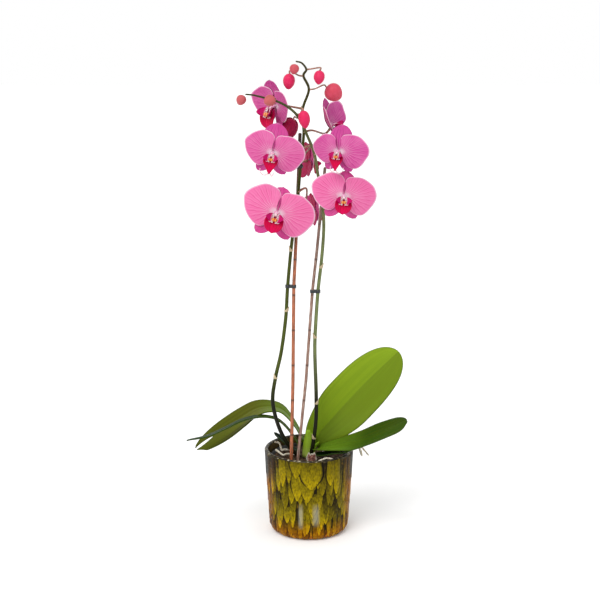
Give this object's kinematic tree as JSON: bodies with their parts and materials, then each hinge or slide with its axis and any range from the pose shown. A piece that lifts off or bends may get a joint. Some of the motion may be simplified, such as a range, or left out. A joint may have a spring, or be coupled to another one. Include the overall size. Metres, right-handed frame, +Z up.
{
  "type": "potted orchid",
  "caption": "Potted moth orchid: arching flower spikes of broad petalled blooms and hanging buds on tied canes, strap leaves at the base, in a tapering glazed pot.",
  "frame": {"origin": "centre of the pot's flat foot, on the surface it stands on", "axes": "+Z up along the pot's axis and the stems, -Y towards the side that most of the flowers face, +X to the right of a viewer who looks at that side"},
  "size_m": [0.324, 0.1434, 0.7015],
  "materials": {
    "glaze": "gloss",
    "liner_plastic": "matte",
    "bark": "matte",
    "leaf": "satin",
    "stem": "satin",
    "petal": "satin",
    "sepal": "satin",
    "lip": "satin",
    "bud": "satin",
    "bamboo": "satin",
    "clip_plastic": "satin",
    "root": "matte",
    "crown": "matte"
  },
  "bodies": {
    "root": {"bud_centre": "bud", "bud_left_second": "bud", "bud_left_tip": "bud", "bud_opening": "bud", "bud_right": "bud", "bud_top": "bud", "bud_top_left": "bud", "bud_top_right": "bud", "clip_left_lower": "clip_plastic", "clip_left_upper": "clip_plastic", "clip_right_lower": "clip_plastic", "clip_right_upper": "clip_plastic", "crown": "crown", "flower_low_back_lip": "lip", "flower_low_back_petals": "petal", "flower_low_back_sepals": "sepal", "flower_low_left_lip": "lip", "flower_low_left_petals": "petal", "flower_low_left_sepals": "sepal", "flower_low_right_lip": "lip", "flower_low_right_petals": "petal", "flower_low_right_sepals": "sepal", "flower_mid_back_lip": "lip", "flower_mid_back_petals": "petal", "flower_mid_back_sepals": "sepal", "flower_mid_left_lip": "lip", "flower_mid_left_petals": "petal", "flower_mid_left_sepals": "sepal", "flower_mid_right_lip": "lip", "flower_mid_right_petals": "petal", "flower_mid_right_sepals": "sepal", "flower_top_left_lip": "lip", "flower_top_left_petals": "petal", "flower_top_left_sepals": "sepal", "flower_top_right_lip": "lip", "flower_top_right_petals": "petal", "flower_top_right_sepals": "sepal", "leaf_arching_back": "leaf", "leaf_arching_front": "leaf", "leaf_low_right": "leaf", "leaf_small_left": "leaf", "leaf_under_right": "leaf", "leaf_upright_right": "leaf", "nursery_pot": "liner_plastic", "pot": "glaze", "potting_bark": "bark", "root_front_right": "root", "root_left_front": "root", "root_left_rear": "root", "root_over_rim": "root", "spike_left": "stem", "spike_right": "stem", "stake_left": "bamboo", "stake_right": "bamboo"}
  },
  "joints": []
}
